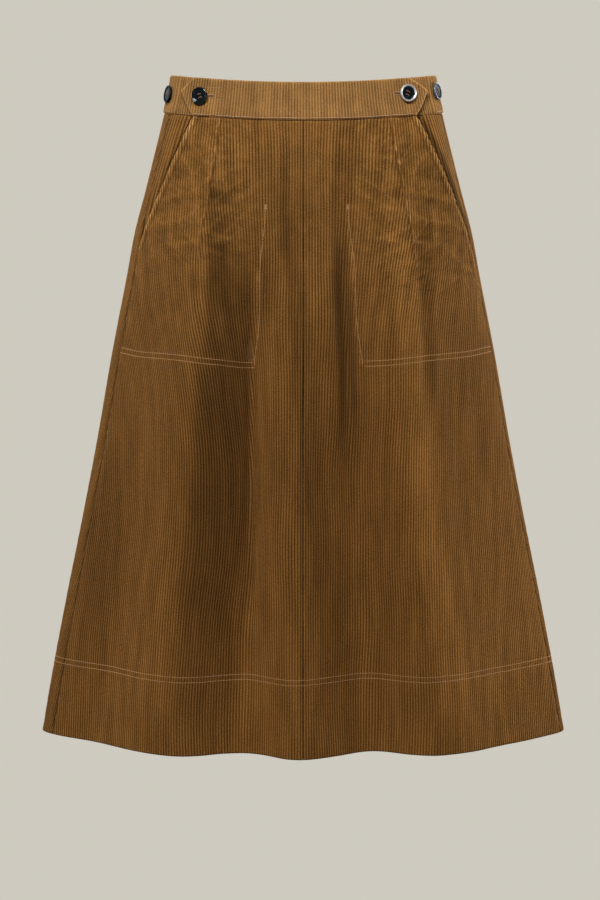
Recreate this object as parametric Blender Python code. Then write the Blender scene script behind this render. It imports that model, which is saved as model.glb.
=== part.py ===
"""An A-line midi skirt in wide-wale corduroy, filled out as it is when it is worn.

Each piece that is cut and sewn is one object: two fronts that meet at a centre seam, the back, a pocket
piece behind each slanted front edge, the front waistband with its two pointed tabs, the back waistband
that runs round under those tabs, and four buttons. The cloth hangs from the waist, +Z is up, the front
faces -Y, and the origin is in the middle of the waistband, where the waist holds it.

Every piece of cloth is a wall on one surface, on_skirt(turn, height). turn is the angle round the skirt,
0 at the centre front, -90 at the side on -X, 90 at the side on +X and 180 at the centre back.
"""

import math
from bisect import bisect_right
from collections import namedtuple
from functools import lru_cache

import bmesh
import bpy
from mathutils import Matrix, Vector

# Sizes are in millimetres, and MM turns them into metres
MM = 0.001
BAND_TOP = 21  # height of the waistband's upper edge at the sides
BAND_HEIGHT = 41
WAIST_DIP = 8  # how much lower the waistband is at the centre front and back
HEM = -709  # height of the hem
TURN_UP = 82  # depth of the turned-up hem, which doubles the wall
WALL = 1.8  # one layer of corduroy
BAND_WALL = 2.6  # a pressed waistband
BAND_PROUD = 0.8  # how far the waistband's face stands out from the panels
GAP = 0.3  # between pieces that are sewn together edge to edge
SLACK = 0.8  # between a piece and the one that lies behind it
BUTTON_WIDTH = 19
BUTTON_DEPTH = 3.6

# The skirt's outline at each height: half its width, its depth in front of and behind the side, and
# how square the outline is. 2 is an ellipse, more is squarer and less is nearer to a diamond.
Section = namedtuple("Section", "height half_width front back power")
SECTIONS = [
    Section(21, 144, 66, 70, 2.8),
    Section(-20, 152, 70, 76, 2.7),
    Section(-60, 162, 77, 88, 2.5),
    Section(-105, 173.5, 85, 102, 2.3),
    Section(-150, 185.5, 91, 113, 2.15),
    Section(-195, 194, 96, 119, 2.0),
    Section(-285, 212, 102, 125, 1.85),
    Section(-374, 228, 107, 130, 1.75),
    Section(-463, 245.5, 112, 136, 1.65),
    Section(-552, 264, 116, 142, 1.58),
    Section(-641, 281.5, 120, 148, 1.53),
    Section(-709, 293.5, 124, 152, 1.5),
]

# The folds that the flare falls into. Places and widths are shares of the half width, from -1 to 1:
# where the fold's middle starts, where it ends at the hem, and how far it reaches to each side.
# depth is outward, and the fold grows from the height starts to its full depth at the height full.
Fold = namedtuple("Fold", "side start end left right depth starts full")
FOLDS = [
    Fold("front", -0.56, -0.49, 0.40, 0.29, 35, -110, -340),  # from the left dart
    Fold("front", -0.25, -0.195, 0.18, 0.14, -9, -150, -300),
    Fold("front", -0.12, -0.02, 0.22, 0.24, 24, -180, -450),  # along the centre seam
    Fold("front", 0.235, 0.25, 0.12, 0.15, -8, -110, -300),
    Fold("front", 0.475, 0.52, 0.28, 0.46, 34, -100, -450),  # from the right dart
    Fold("front", 0.73, 0.73, 0.10, 0.12, -3, -100, -400),
    Fold("back", -0.58, -0.62, 0.28, 0.26, 17, -220, -560),
    Fold("back", -0.24, -0.28, 0.20, 0.22, -13, -200, -520),
    Fold("back", 0.06, 0.04, 0.22, 0.24, 15, -240, -600),
    Fold("back", 0.34, 0.38, 0.18, 0.20, -14, -210, -500),
    Fold("back", 0.62, 0.66, 0.26, 0.24, 18, -230, -580),
]

# Where each side's edges run, as turns in degrees and heights. The skirt sits a little round to one
# side, so the two sides differ. The pocket mouth runs from the waist seam to the side seam.
Side = namedtuple(
    "Side", "name seam mouth_top mouth_bottom pocket_inner tab_top tab_point tab_bottom band_end"
)
LEFT = Side("left", -73, -51.4, -172, -14, -54.3, -63.2, -51.4, -42)
RIGHT = Side("right", 80, 53.6, -205, 17, 52.9, 66.2, 53.6, 43)
POCKET_BOTTOM = -294
TAB_POINT_SHARE = 0.62  # the tab's point is this far up the waistband
MOUTH_LIFT = 1.6  # how far the pocket mouth's edge lifts off the pocket piece, halfway along it
CLEAR_TURNS = 1.5  # a piece stays flat for this many degrees past the front edge that it lies under
RISE_TURNS = 5  # and comes out to the skirt's face over this many more

# The front buttons fasten the tabs. The side ones are spare places for the tabs, to wear it tighter.
Button = namedtuple("Button", "name turn height")
BUTTONS = [
    Button("button_front_left", -48.2, -2),
    Button("button_front_right", 49, 1),
    Button("button_side_left", -77, 0),
    Button("button_side_right", 75.5, 3),
]

PANEL_ROWS = 20
FRONT_COLUMNS = 28
BACK_COLUMNS = 50
POCKET_COLUMNS = 22
POCKET_ROWS = 11
FRONT_BAND_COLUMNS = 50
BACK_BAND_COLUMNS = 72
FRONT_BAND_ROWS = (0, 0.31, TAB_POINT_SHARE, 0.81, 1)  # one is level with the tabs' points
BACK_BAND_ROWS = 2
BUTTON_SIDES = 24

COLOURS = {  # base colour, roughness
    "corduroy": ((0.128, 0.054, 0.014), 0.95),
    "waistband": ((0.200, 0.096, 0.030), 0.95),
    "dark horn": ((0.006, 0.006, 0.007), 0.18),
}


def ease(share):
    """0 before 0, 1 after 1, and smooth between."""
    share = min(max(share, 0.0), 1.0)
    return share * share * (3 - 2 * share)


def mix(a, b, share):
    return a + (b - a) * share


def section_at(height):
    """The row of SECTIONS for a height, by a smooth curve through the rows."""
    rows = SECTIONS
    height = min(max(height, rows[-1].height), rows[0].height)
    i = next(k for k in range(len(rows) - 1) if height >= rows[k + 1].height)
    share = (rows[i].height - height) / (rows[i].height - rows[i + 1].height)
    before, after = rows[max(i - 1, 0)], rows[min(i + 2, len(rows) - 1)]
    step = rows[i].height - rows[i + 1].height

    def column(name):
        a, b = getattr(rows[i], name), getattr(rows[i + 1], name)
        slope_a = (b - getattr(before, name)) / (before.height - rows[i + 1].height) * step
        slope_b = (getattr(after, name) - a) / (rows[i].height - after.height) * step
        s2, s3 = share**2, share**3
        return (
            (2 * s3 - 3 * s2 + 1) * a
            + (s3 - 2 * s2 + share) * slope_a
            + (3 * s2 - 2 * s3) * b
            + (s3 - s2) * slope_b
        )

    return Section(height, *(column(name) for name in Section._fields[1:]))


def fold_depth(side, across, height):
    """How far the folds move the cloth outward, in millimetres."""
    total = 0.0
    for fold in FOLDS:
        if fold.side != side or height >= fold.starts:
            continue
        down = (fold.starts - height) / (fold.starts - HEM)
        off = across - mix(fold.start, fold.end, down)
        reach = fold.left if off < 0 else fold.right
        if abs(off) < reach:
            grown = ease((fold.starts - height) / (fold.starts - fold.full))
            total += fold.depth * grown * math.cos(math.pi * off / reach / 2) ** 2
    return total


def on_skirt(turn, height):
    """The point of the skirt's outer face at a turn and a height, in millimetres."""
    row = section_at(height)
    across = math.sin(math.radians(turn))
    in_front = math.cos(math.radians(turn)) > 0
    depth = (1 - abs(across) ** row.power) ** (1 / row.power)
    if in_front:
        y = -row.front * depth - fold_depth("front", across, height)
    else:
        y = row.back * depth + fold_depth("back", across, height)
    return Vector((row.half_width * across, y, height))


def outward(turn, height):
    """The direction that the cloth faces at a turn and a height."""
    round_it = on_skirt(turn + 1, height) - on_skirt(turn - 1, height)
    up = on_skirt(turn, height + 5) - on_skirt(turn, height - 5)
    return round_it.cross(up).normalized()


def moved_out(turn, height, out):
    """A point that is out millimetres outside the skirt's outer face, in metres."""
    return (on_skirt(turn, height) + outward(turn, height) * out) * MM


@lru_cache(maxsize=None)
def ring(height):
    """The turns round the whole skirt at a height, and the cloth's length up to each."""
    turns = list(range(-180, 181, 2))
    lengths = [0.0]
    for a, b in zip(turns, turns[1:]):
        lengths.append(lengths[-1] + (on_skirt(b, height) - on_skirt(a, height)).length)
    return turns, lengths


def between(keys, values, key):
    """The value at a key, on straight lines through the pairs. Keys go up."""
    i = min(max(bisect_right(keys, key) - 1, 0), len(keys) - 2)
    share = (key - keys[i]) / (keys[i + 1] - keys[i])
    return mix(values[i], values[i + 1], share)


def turn_between(start, end, share, height, gap=GAP):
    """The turn at a share of the cloth's length between two edges, less half the gap at each."""
    turns, lengths = ring(round(height))
    whole = lengths[-1]

    def length_at(turn):
        wraps = math.floor((turn + 180) / 360)
        return between(turns, lengths, turn - 360 * wraps) + whole * wraps

    a, b = length_at(start), length_at(end)
    inset = math.copysign(gap / 2, b - a)
    at = mix(a + inset, b - inset, share)
    wraps = math.floor(at / whole)
    return between(lengths, turns, at - whole * wraps) + 360 * wraps


def band_top(turn):
    return BAND_TOP - WAIST_DIP * math.cos(math.radians(turn)) ** 2


def waist_seam(turn):
    return band_top(turn) - BAND_HEIGHT


def mouth_turn(side, height):
    """The turn of the pocket mouth's edge at a height: from the waist seam out to the side seam."""
    down = (waist_seam(side.mouth_top) - height) / (waist_seam(side.mouth_top) - side.mouth_bottom)
    return mix(side.mouth_top, side.seam, min(max(down, 0), 1))


def material(name):
    found = bpy.data.materials.get(name)
    if found:
        return found
    colour, roughness = COLOURS[name]
    made = bpy.data.materials.new(name)
    made.use_nodes = True
    shader = made.node_tree.nodes["Principled BSDF"]
    shader.inputs["Base Color"].default_value = (*colour, 1)
    shader.inputs["Roughness"].default_value = roughness
    shader.inputs["Metallic"].default_value = 0
    return made


def add_object(name, bm, finish):
    mesh = bpy.data.meshes.new(name)
    bm.to_mesh(mesh)
    bm.free()
    mesh.shade_smooth()
    mesh.set_sharp_from_angle(angle=math.radians(50))
    mesh.materials.append(material(finish))
    piece = bpy.data.objects.new(name, mesh)
    bpy.context.collection.objects.link(piece)
    return piece


def cloth_wall(name, columns, rows, place, finish):
    """A wall of cloth. place(across, down, inside) gives a point, with across and down from 0 to 1.

    A flat grid is extruded once, and then each of its two faces is laid on the skirt.
    """
    bm = bmesh.new()
    bmesh.ops.create_grid(bm, x_segments=columns, y_segments=rows, size=0.5)
    face = list(bm.verts)
    grown = bmesh.ops.extrude_face_region(bm, geom=bm.faces[:], use_keep_orig=True)
    lining = [item for item in grown["geom"] if isinstance(item, bmesh.types.BMVert)]
    for verts, inside in ((face, False), (lining, True)):
        for vert in verts:
            vert.co = place(vert.co.x + 0.5, 0.5 - vert.co.y, inside)
    bmesh.ops.recalc_face_normals(bm, faces=bm.faces[:])
    return add_object(name, bm, finish)


def panel_height(turn, down):
    """The height of a point that is a share of the way down from the waist seam to the hem."""
    return mix(waist_seam(turn) - GAP / 2, HEM, down)


def panel_wall(height):
    """The wall's thickness, which doubles where the hem is turned up."""
    return WALL * (1 + 0.9 * ease((HEM + TURN_UP - height) / 4 + 0.5))


def front(side):
    """A front: centre seam, waist seam, slanted pocket mouth, side seam and hem."""

    def place(across, down, inside):
        level = panel_height(side.mouth_top, down)
        edge = mouth_turn(side, level)
        turn = turn_between(0, edge, across, level)
        height = panel_height(turn, down)
        along_mouth = (waist_seam(0) - level) / (waist_seam(0) - side.mouth_bottom)
        lift = MOUTH_LIFT * ease((across - 0.8) / 0.2)
        lift *= math.sin(math.pi * min(along_mouth, 1)) ** 2
        return moved_out(turn, height, lift - (panel_wall(height) if inside else 0))

    return cloth_wall(f"front_{side.name}", FRONT_COLUMNS, PANEL_ROWS, place, "corduroy")


def back():
    """The back, in one piece from side seam to side seam."""

    def place(across, down, inside):
        level = panel_height(LEFT.mouth_top, down)
        turn = turn_between(RIGHT.seam, LEFT.seam + 360, across, level)
        height = panel_height(turn, down)
        return moved_out(turn, height, -panel_wall(height) if inside else 0)

    return cloth_wall("back", BACK_COLUMNS, PANEL_ROWS, place, "corduroy")


def depth_behind(turn, edge):
    """How far a piece lies behind the skirt's face: under the front, and then out past its edge."""
    past = (abs(turn) - abs(edge) - CLEAR_TURNS) / RISE_TURNS
    return (WALL + SLACK) * (1 - ease(past))


def pocket(side):
    """The pocket piece: the hip that shows beside the slanted mouth, and the bag behind the front."""

    def place(across, down, inside):
        level = mix(waist_seam(side.mouth_top) - GAP / 2, POCKET_BOTTOM, down)
        turn = turn_between(side.pocket_inner, side.seam, across, level)
        height = mix(waist_seam(turn) - GAP / 2, POCKET_BOTTOM, down)
        behind = depth_behind(turn, mouth_turn(side, level))
        return moved_out(turn, height, -behind - (WALL if inside else 0))

    return cloth_wall(f"pocket_{side.name}", POCKET_COLUMNS, POCKET_ROWS, place, "corduroy")


def tab_edge(side, up):
    """The turn of a tab's pointed end at a share of the waistband's height."""
    if up < TAB_POINT_SHARE:
        return mix(side.tab_bottom, side.tab_point, up / TAB_POINT_SHARE)
    return mix(side.tab_point, side.tab_top, (up - TAB_POINT_SHARE) / (1 - TAB_POINT_SHARE))


def band_height(turn, up):
    return mix(waist_seam(turn) + GAP / 2, band_top(turn), up)


def waistband_front():
    """The front waistband, with a pointed tab at each end."""
    last = len(FRONT_BAND_ROWS) - 1

    def place(across, down, inside):
        up = FRONT_BAND_ROWS[round((1 - down) * last)]
        turn = turn_between(tab_edge(LEFT, up), tab_edge(RIGHT, up), across, 0, gap=0)
        out = BAND_PROUD - (BAND_WALL if inside else 0)
        return moved_out(turn, band_height(turn, up), out)

    return cloth_wall("waistband_front", FRONT_BAND_COLUMNS, last, place, "waistband")


def waistband_back():
    """The back waistband, which runs forward under both tabs."""

    def place(across, down, inside):
        turn = turn_between(RIGHT.band_end, LEFT.band_end + 360, across, 0, gap=0)
        side = RIGHT if turn < 180 else LEFT
        near = turn if turn < 180 else turn - 360
        under = BAND_WALL + SLACK
        rise = ease((abs(near) - abs(side.tab_point) - CLEAR_TURNS) / RISE_TURNS)
        out = BAND_PROUD - under * (1 - rise) - (BAND_WALL if inside else 0)
        return moved_out(turn, band_height(turn, 1 - down), out)

    return cloth_wall("waistband_back", BACK_BAND_COLUMNS, BACK_BAND_ROWS, place, "waistband")


def button(row):
    """A dished button with a rolled rim, turned round its own axis and laid on the waistband."""
    radius = BUTTON_WIDTH / 2
    # distance from the axis, height above the waistband
    profile = [
        (0, 0),
        (0.72 * radius, 0),
        (0.97 * radius, 0.32 * BUTTON_DEPTH),
        (radius, 0.62 * BUTTON_DEPTH),
        (0.93 * radius, 0.94 * BUTTON_DEPTH),
        (0.80 * radius, BUTTON_DEPTH),
        (0.64 * radius, 0.72 * BUTTON_DEPTH),
        (0, 0.62 * BUTTON_DEPTH),
    ]
    bm = bmesh.new()
    verts = [bm.verts.new(Vector((x, 0, z)) * MM) for x, z in profile]
    edges = [bm.edges.new(pair) for pair in zip(verts, verts[1:])]
    bmesh.ops.spin(
        bm,
        geom=verts + edges,
        cent=(0, 0, 0),
        axis=(0, 0, 1),
        angle=2 * math.pi,
        steps=BUTTON_SIDES,
        use_merge=True,
    )
    bmesh.ops.remove_doubles(bm, verts=bm.verts[:], dist=0.01 * MM)
    bmesh.ops.recalc_face_normals(bm, faces=bm.faces[:])
    up = outward(row.turn, row.height)
    aim = Vector((0, 0, 1)).rotation_difference(up).to_matrix().to_4x4()
    foot = moved_out(row.turn, row.height, BAND_PROUD + GAP)
    bm.transform(Matrix.Translation(foot) @ aim)
    return add_object(row.name, bm, "dark horn")


def main():
    for leftover in list(bpy.data.objects):
        bpy.data.objects.remove(leftover)
    back()
    for side in (LEFT, RIGHT):
        front(side)
        pocket(side)
    waistband_front()
    waistband_back()
    for row in BUTTONS:
        button(row)


main()
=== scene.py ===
# %% [markdown]
# # An A-line skirt in wide-wale corduroy
# The skirt is cut from cotton corduroy, a cloth with soft raised ribs that are called wales. It hangs
# filled out, as if it were worn. This lesson lays each cut piece over the plain solid of the same name,
# rib by rib, and then adds what a machine and a needle add: darts, topstitching, bar tacks, buttonholes
# and buttons.

# %% Load the plain solids
import math
from collections import namedtuple

import bmesh
import bpy
import numpy as np
from mathutils import Matrix, Vector


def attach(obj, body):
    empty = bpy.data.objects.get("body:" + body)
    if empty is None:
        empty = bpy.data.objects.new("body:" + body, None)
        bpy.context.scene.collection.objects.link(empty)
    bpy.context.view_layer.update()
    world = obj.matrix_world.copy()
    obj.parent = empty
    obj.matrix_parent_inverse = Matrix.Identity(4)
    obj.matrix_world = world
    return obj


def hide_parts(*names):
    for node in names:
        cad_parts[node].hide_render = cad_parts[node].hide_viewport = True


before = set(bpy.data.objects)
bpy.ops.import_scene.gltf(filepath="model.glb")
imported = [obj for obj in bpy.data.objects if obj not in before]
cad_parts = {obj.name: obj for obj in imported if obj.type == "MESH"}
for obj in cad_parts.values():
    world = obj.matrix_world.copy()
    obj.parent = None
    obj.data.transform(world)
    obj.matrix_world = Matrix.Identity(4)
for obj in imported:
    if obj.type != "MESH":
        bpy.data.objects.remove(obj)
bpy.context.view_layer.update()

scene = bpy.context.scene
print("solids:", sorted(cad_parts))

# %% [markdown]
# ## The studio
# The floor and the dome round it have one pale colour, so no horizon shows. Light from them would fill
# every fold and flatten it, so they are only seen, and the lamps and a dim sky do the lighting.

# %% Floor, dome and sky
PALE = (0.617, 0.591, 0.521, 1)
SKY = 0.1  # how bright the sky's light is, as a share of PALE
FLOOR = -1.05  # the floor under a wearer's feet
FAR = 40

scene.view_settings.view_transform = "Standard"
world = bpy.data.worlds.new("sky")
world.use_nodes = True
world.node_tree.nodes["Background"].inputs["Color"].default_value = PALE
world.node_tree.nodes["Background"].inputs["Strength"].default_value = SKY
scene.world = world

backdrop = bpy.data.materials.new("backdrop")
backdrop.use_nodes = True
plain = backdrop.node_tree.nodes["Principled BSDF"]
plain.inputs["Base Color"].default_value = (0, 0, 0, 1)
plain.inputs["Specular IOR Level"].default_value = 0
plain.inputs["Emission Color"].default_value = PALE
plain.inputs["Emission Strength"].default_value = 1


def finished_mesh(name, bm):
    """Turns a bmesh into a mesh and frees it."""
    mesh = bpy.data.meshes.new(name)
    bm.to_mesh(mesh)
    bm.free()
    return mesh


def placed(name, data):
    """A new object in the scene."""
    thing = bpy.data.objects.new(name, data)
    scene.collection.objects.link(thing)
    return thing


def as_mesh(thing):
    """The mesh that an object's modifiers or bevel make. The object itself is removed."""
    mesh = bpy.data.meshes.new_from_object(thing.evaluated_get(bpy.context.evaluated_depsgraph_get()))
    bpy.data.objects.remove(thing)
    return mesh


def stage_piece(name, bm):
    """Adds a part of the background, which is seen but lights nothing."""
    mesh = finished_mesh(name, bm)
    mesh.materials.append(backdrop)
    piece = placed(name, mesh)
    piece.visible_diffuse = False
    piece.visible_glossy = False
    piece.visible_shadow = False


bm = bmesh.new()
bmesh.ops.create_grid(bm, x_segments=1, y_segments=1, size=FAR / 2, matrix=Matrix.Translation((0, 0, FLOOR)))
stage_piece("floor", bm)
bm = bmesh.new()
bmesh.ops.create_icosphere(bm, subdivisions=3, radius=FAR)
stage_piece("dome", bm)

# %% Camera and lamps
LENS = 108.7
CAMERA_PLACE = (-0.0036, -3.0, -0.039)
LOOKS_DOWN = 6.7  # degrees

camera_data = bpy.data.cameras.new("camera")
camera_data.lens = LENS
camera = placed("camera", camera_data)
camera.location = CAMERA_PLACE
camera.rotation_euler = (math.radians(90 - LOOKS_DOWN), 0, 0)
scene.camera = camera

# Places, aims and sizes are in metres.
Lamp = namedtuple("Lamp", "name place aim size watts")
LAMPS = [
    Lamp("key", (-0.95, -2.5, 1.9), (0, 0, -0.2), 0.6, 60),
    Lamp("top", (0.15, -1.1, 0.9), (0, 0, -0.02), 0.4, 7),
    Lamp("left_rim", (-2.3, 1.1, 0.3), (0, 0, -0.35), 0.8, 32),
    Lamp("right_rim", (2.3, 0.9, 0.1), (0, 0, -0.4), 0.8, 56),
    Lamp("behind", (0.6, 2.6, 1.3), (0, 0, -0.3), 1.4, 36),
]
for row in LAMPS:
    lamp = bpy.data.lights.new(row.name, "AREA")
    lamp.size = row.size
    lamp.energy = row.watts
    holder = placed(row.name, lamp)
    holder.location = row.place
    holder.rotation_euler = (Vector(row.aim) - Vector(row.place)).to_track_quat("-Z", "Y").to_euler()

# %% [markdown]
# ## The surface that every piece lies on
# A garment is easier to model as one surface than as many. Here it is a function: give it a turn round
# the body and a height, and it gives a point. The table of sections is the same as that of the solids,
# in millimetres, and so are the big folds that the flare falls into.

# %% Sizes, sections and folds
MM = 0.001
BAND_TOP = 21
BAND_HEIGHT = 41
WAIST_DIP = 8  # the waist is this much lower at the centre, in front and behind
HEM = -709
TURN_UP = 82
WALL = 1.8
BAND_WALL = 2.6
BAND_PROUD = 0.8  # the waistband stands out this much from the panels
GAP = 0.3  # between pieces, at a seam
SLACK = 0.8  # between a piece and the one behind it

# height, half width, depth in front, depth behind, power of the outline
SECTIONS = np.array([
    (21, 144, 66, 70, 2.8),
    (-20, 152, 70, 76, 2.7),
    (-60, 162, 77, 88, 2.5),
    (-105, 173.5, 85, 102, 2.3),
    (-150, 185.5, 91, 113, 2.15),
    (-195, 194, 96, 119, 2.0),
    (-285, 212, 102, 125, 1.85),
    (-374, 228, 107, 130, 1.75),
    (-463, 245.5, 112, 136, 1.65),
    (-552, 264, 116, 142, 1.58),
    (-641, 281.5, 120, 148, 1.53),
    (-709, 293.5, 124, 152, 1.5),
])

# Places and reaches are shares of the half width. A fold grows from the height starts to full.
Fold = namedtuple("Fold", "start end left right depth starts full")
FOLDS = {
    "front": [
        (-0.56, -0.49, 0.40, 0.29, 35, -110, -340),
        (-0.25, -0.195, 0.18, 0.14, -9, -150, -300),
        (-0.12, -0.02, 0.22, 0.24, 24, -180, -450),
        (0.235, 0.25, 0.12, 0.15, -8, -110, -300),
        (0.475, 0.52, 0.28, 0.46, 34, -100, -450),
        (0.73, 0.73, 0.10, 0.12, -3, -100, -400),
    ],
    "back": [
        (-0.58, -0.62, 0.28, 0.26, 17, -220, -560),
        (-0.24, -0.28, 0.20, 0.22, -13, -200, -520),
        (0.06, 0.04, 0.22, 0.24, 15, -240, -600),
        (0.34, 0.38, 0.18, 0.20, -14, -210, -500),
        (0.62, 0.66, 0.26, 0.24, 18, -230, -580),
    ],
}

# %% [markdown]
# The solids carry the big folds. Smaller creases belong to the cloth itself, and they are placed
# in the same units: a soft trough under each dart, the sharp edge where the left fold turns into the
# centre, and a few shallow ones that wander, behind as well as in front.

# %% Small creases
# A crease has a middle that runs from start to end, a reach, a depth, and the heights where it begins,
# is deepest and ends.
Crease = namedtuple("Crease", "start end reach depth begins deepest ends")
CREASES = {
    "front": [
        (-0.275, -0.185, 0.050, -8.5, -170, -400, -720),
        (-0.340, -0.270, 0.075, 3.5, -200, -430, -760),
        (-0.220, -0.220, 0.120, 7.0, -420, -720, -1050),
        (-0.160, -0.135, 0.050, 2.5, -220, -430, -740),
        (-0.080, 0.020, 0.045, -3.0, -60, -200, -430),
        (0.215, 0.215, 0.058, -7.0, -90, -250, -520),
        (0.690, 0.600, 0.045, -2.6, -90, -220, -380),
        (0.430, 0.500, 0.080, 3.5, -220, -480, -800),
        (-0.70, -0.79, 0.130, -5.0, -300, -560, -860),
        (-0.40, -0.36, 0.060, -1.5, -90, -190, -320),
        (0.86, 0.82, 0.050, -1.5, -230, -380, -600),
    ],
    "back": [
        (-0.42, -0.44, 0.070, -2.2, -160, -330, -620),
        (0.20, 0.22, 0.060, -1.8, -180, -400, -690),
        (-0.08, -0.12, 0.060, 1.6, -260, -480, -760),
        (0.50, 0.54, 0.060, -2.0, -150, -300, -560),
    ],
}

# %% The surface


def ease(share):
    """0 before 0, 1 after 1, and smooth between."""
    share = np.clip(share, 0.0, 1.0)
    return share * share * (3 - 2 * share)


def passed(height, start, end):
    """How far height has come from start to end: 0 before start, 1 past end, and smooth between."""
    return ease((height - start) / (end - start))


def mix(a, b, share):
    return a + (b - a) * share


def section_at(height):
    """The columns of SECTIONS for each height, by a smooth curve through the rows."""
    levels, values = SECTIONS[:, 0], SECTIONS[:, 1:]
    height = np.clip(height, levels[-1], levels[0])
    i = np.clip(np.searchsorted(-levels, -height, side="right") - 1, 0, len(levels) - 2)
    before, after = np.maximum(i - 1, 0), np.minimum(i + 2, len(levels) - 1)
    step = levels[i] - levels[i + 1]
    share = ((levels[i] - height) / step)[..., None]
    slope_a = (values[i + 1] - values[before]) * (step / (levels[before] - levels[i + 1]))[..., None]
    slope_b = (values[after] - values[i]) * (step / (levels[i] - levels[after]))[..., None]
    s2, s3 = share**2, share**3
    row = (2 * s3 - 3 * s2 + 1) * values[i] + (s3 - 2 * s2 + share) * slope_a
    row = row + (3 * s2 - 2 * s3) * values[i + 1] + (s3 - s2) * slope_b
    return np.moveaxis(row, -1, 0)


def bump(off):
    """1 at 0, falling smoothly to 0 at -1 and 1."""
    return np.cos(np.pi / 2 * np.clip(off, -1, 1)) ** 2


def fold_depth(side, across, height):
    """How far the folds and creases move the cloth outward."""
    total = np.zeros_like(across)
    for fold in map(Fold._make, FOLDS[side]):
        off = across - mix(fold.start, fold.end, (fold.starts - height) / (fold.starts - HEM))
        reach = np.where(off < 0, fold.left, fold.right)
        total += fold.depth * passed(height, fold.starts, fold.full) * bump(off / reach)
    for crease in map(Crease._make, CREASES[side]):
        down = (crease.begins - height) / (crease.begins - crease.ends)
        off = (across - mix(crease.start, crease.end, down)) / crease.reach
        begun = passed(height, crease.begins, crease.deepest)
        total += crease.depth * np.minimum(begun, passed(height, crease.ends, crease.deepest)) * bump(off)
    return total


def on_skirt(turn, height):
    """Points of the skirt's outer face at turns in degrees and heights in millimetres."""
    turn, height = np.broadcast_arrays(np.asarray(turn, float), np.asarray(height, float))
    half_width, front, back, power = section_at(height)
    across = np.sin(np.radians(turn))
    depth = (1 - np.abs(across) ** power) ** (1 / power)
    ahead = -front * depth - fold_depth("front", across, height)
    behind = back * depth + fold_depth("back", across, height)
    y = np.where(np.cos(np.radians(turn)) > 0, ahead, behind)
    return np.stack([half_width * across, y, height], axis=-1)


def outward(turn, height):
    """The direction that the cloth faces."""
    round_it = on_skirt(turn + 1.0, height) - on_skirt(turn - 1.0, height)
    up = on_skirt(turn, height + 5.0) - on_skirt(turn, height - 5.0)
    facing = np.cross(round_it, up)
    return facing / np.linalg.norm(facing, axis=-1, keepdims=True)


def moved_out(turn, height, out):
    """Points that are out millimetres outside the outer face, in metres."""
    turn, height, out = np.broadcast_arrays(turn, height, out)
    return (on_skirt(turn, height) + outward(turn, height) * out[..., None]) * MM


def lengths_along(points):
    """The length of a line of points from its start to each of them."""
    return np.concatenate([[0], np.cumsum(np.linalg.norm(np.diff(points, axis=0), axis=1))])


def arc_table(start, end, height, steps=260):
    """Turns from start to end at a height, and the cloth's length from start to each."""
    turns = np.linspace(start, end, steps)
    return turns, lengths_along(on_skirt(turns, height))


def cloth_length(start, end, height):
    """The cloth's length from one turn to another at a height."""
    return arc_table(start, end, height)[1][-1]


def band_top(turn):
    return BAND_TOP - WAIST_DIP * np.cos(np.radians(turn)) ** 2


def waist_seam(turn):
    return band_top(turn) - BAND_HEIGHT


def panel_top(turn):
    return waist_seam(turn) - GAP / 2


round_waist, round_hem = cloth_length(-180, 180, 0), cloth_length(-180, 180, HEM)
print(f"the cloth measures {round_waist:.0f} mm round the waist and {round_hem:.0f} mm round the hem")

# %% [markdown]
# ## Where the seams run
# The skirt sits a little round to one side, so the two sides differ. Each row holds one side's seams: the
# side seam, the two ends of the pocket mouth, the pointed tab and the dart.

# %% Seams and darts
# Turns and stitch_drift are in degrees, mouth_bottom and dart_point are heights, rubbed is a
# share of rubbed wear and painted highlight on the mouth's edge, and take_in, take_out, gape and
# tab_lift are in millimetres.
Side = namedtuple(
    "Side",
    "name sign seam mouth_top mouth_bottom pocket_inner tab_top tab_point tab_bottom band_end"
    " dart_top dart_end dart_point take_in take_out gape rubbed tab_lift stitch_drift",
)
LEFT = Side(
    "left", -1, -73, -51.4, -172, -14, -54.3, -63.2, -51.4, -42,
    -35.0, -36.5, -178, 4, 8, 0.8, 0.8, 1.0, -0.6,
)
RIGHT = Side(
    "right", 1, 80, 53.6, -205, 17, 51.6, 64.6, 52.9, 43,
    37.0, 39.4, -186, 8, 10, 3.6, 0.7, 2.2, -1.2,
)
SIDES = (LEFT, RIGHT)
POCKET_BOTTOM = -294
TAB_POINT_SHARE = 0.62  # how far up the waistband a tab's point is
MOUTH_LIFT = 1.6  # how far a mouth's edge stands off, besides its gape
CLEAR_TURNS = 1.5  # a piece stays deep for this many degrees past the edge over it
RISE_TURNS = 5  # and rises to the surface over this many


def mouth_turn(side, height):
    """The turn of the pocket mouth's edge: from the waist seam out to the side seam."""
    top = waist_seam(side.mouth_top)
    down = (top - height) / (top - side.mouth_bottom)
    return mix(side.mouth_top, side.seam, np.clip(down, 0, 1))


# %% [markdown]
# ## Shader maths that reads like Python
# Blender adds one node for each sum. A small class wraps an output, so that an expression such as
# 0.6 + wale * 0.4 adds those nodes by itself. Every other node comes from one method that takes the node's
# type, its settings and what goes into its sockets.

# %% Wires and finishes


class Wire:
    """A node's output. Sums with it add Math nodes."""

    def __init__(self, finish, socket):
        self.finish, self.socket = finish, socket

    def maths(self, operation, *values):
        return self.finish.node("ShaderNodeMath", {"operation": operation}, dict(enumerate(values)))

    def __add__(self, other):
        return self.maths("ADD", self, other)

    def __sub__(self, other):
        return self.maths("SUBTRACT", self, other)

    def __mul__(self, other):
        return self.maths("MULTIPLY", self, other)

    def __abs__(self):
        return self.maths("ABSOLUTE", self)

    __radd__, __rmul__ = __add__, __mul__


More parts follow.
